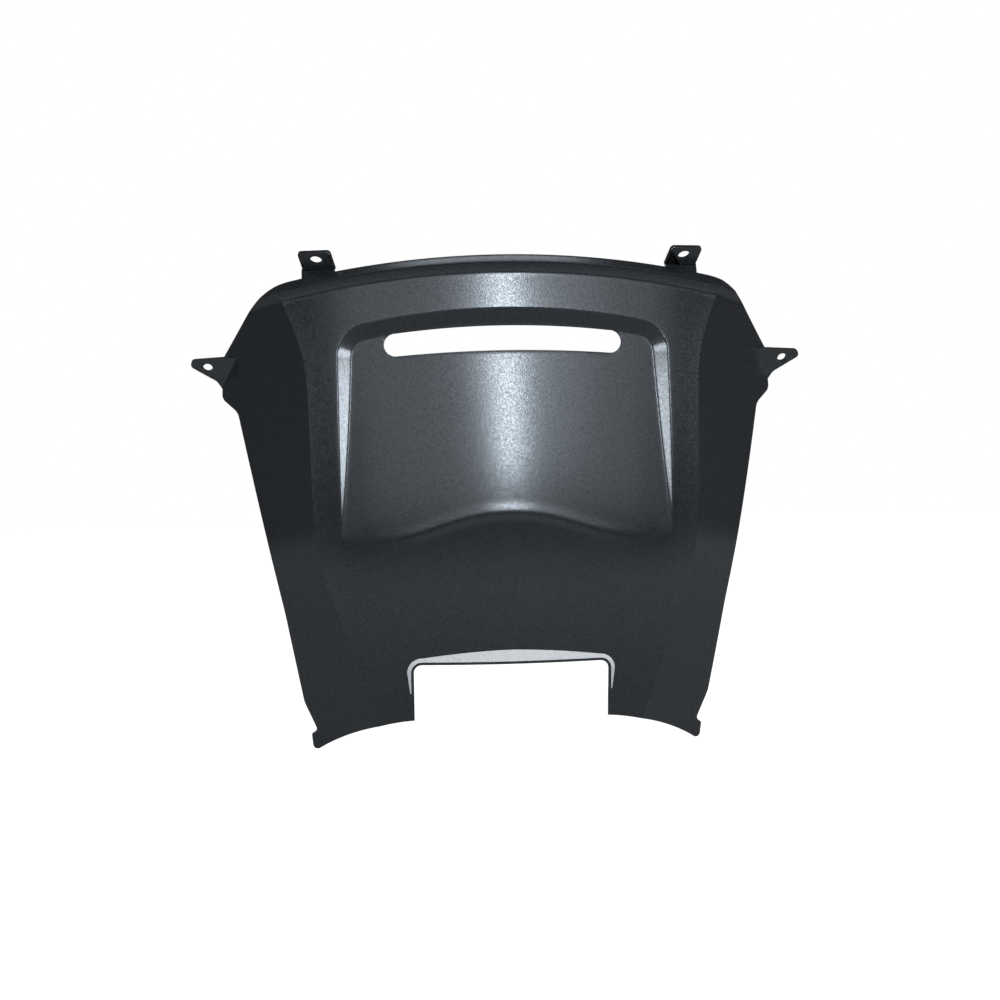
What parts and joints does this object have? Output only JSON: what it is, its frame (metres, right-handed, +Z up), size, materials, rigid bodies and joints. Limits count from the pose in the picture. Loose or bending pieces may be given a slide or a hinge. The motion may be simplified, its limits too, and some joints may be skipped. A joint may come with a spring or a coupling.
{
  "type": "scooter front panel",
  "caption": "Moulded plastic body panel with an arched top lip, screw tabs and ears, a recessed field with a long slot under a brow, and a notched lower edge.",
  "frame": {"origin": "midway between the screw holes of the two top tabs, at mid thickness", "axes": "+X to the right as seen from the front, +Y from the visible front to the back, +Z up the panel"},
  "size_m": [0.3896, 0.0875, 0.3096],
  "materials": {
    "black_plastic": "fine moulded grain, satin black"
  },
  "bodies": {
    "root": {"front_panel": "black_plastic"}
  },
  "joints": []
}
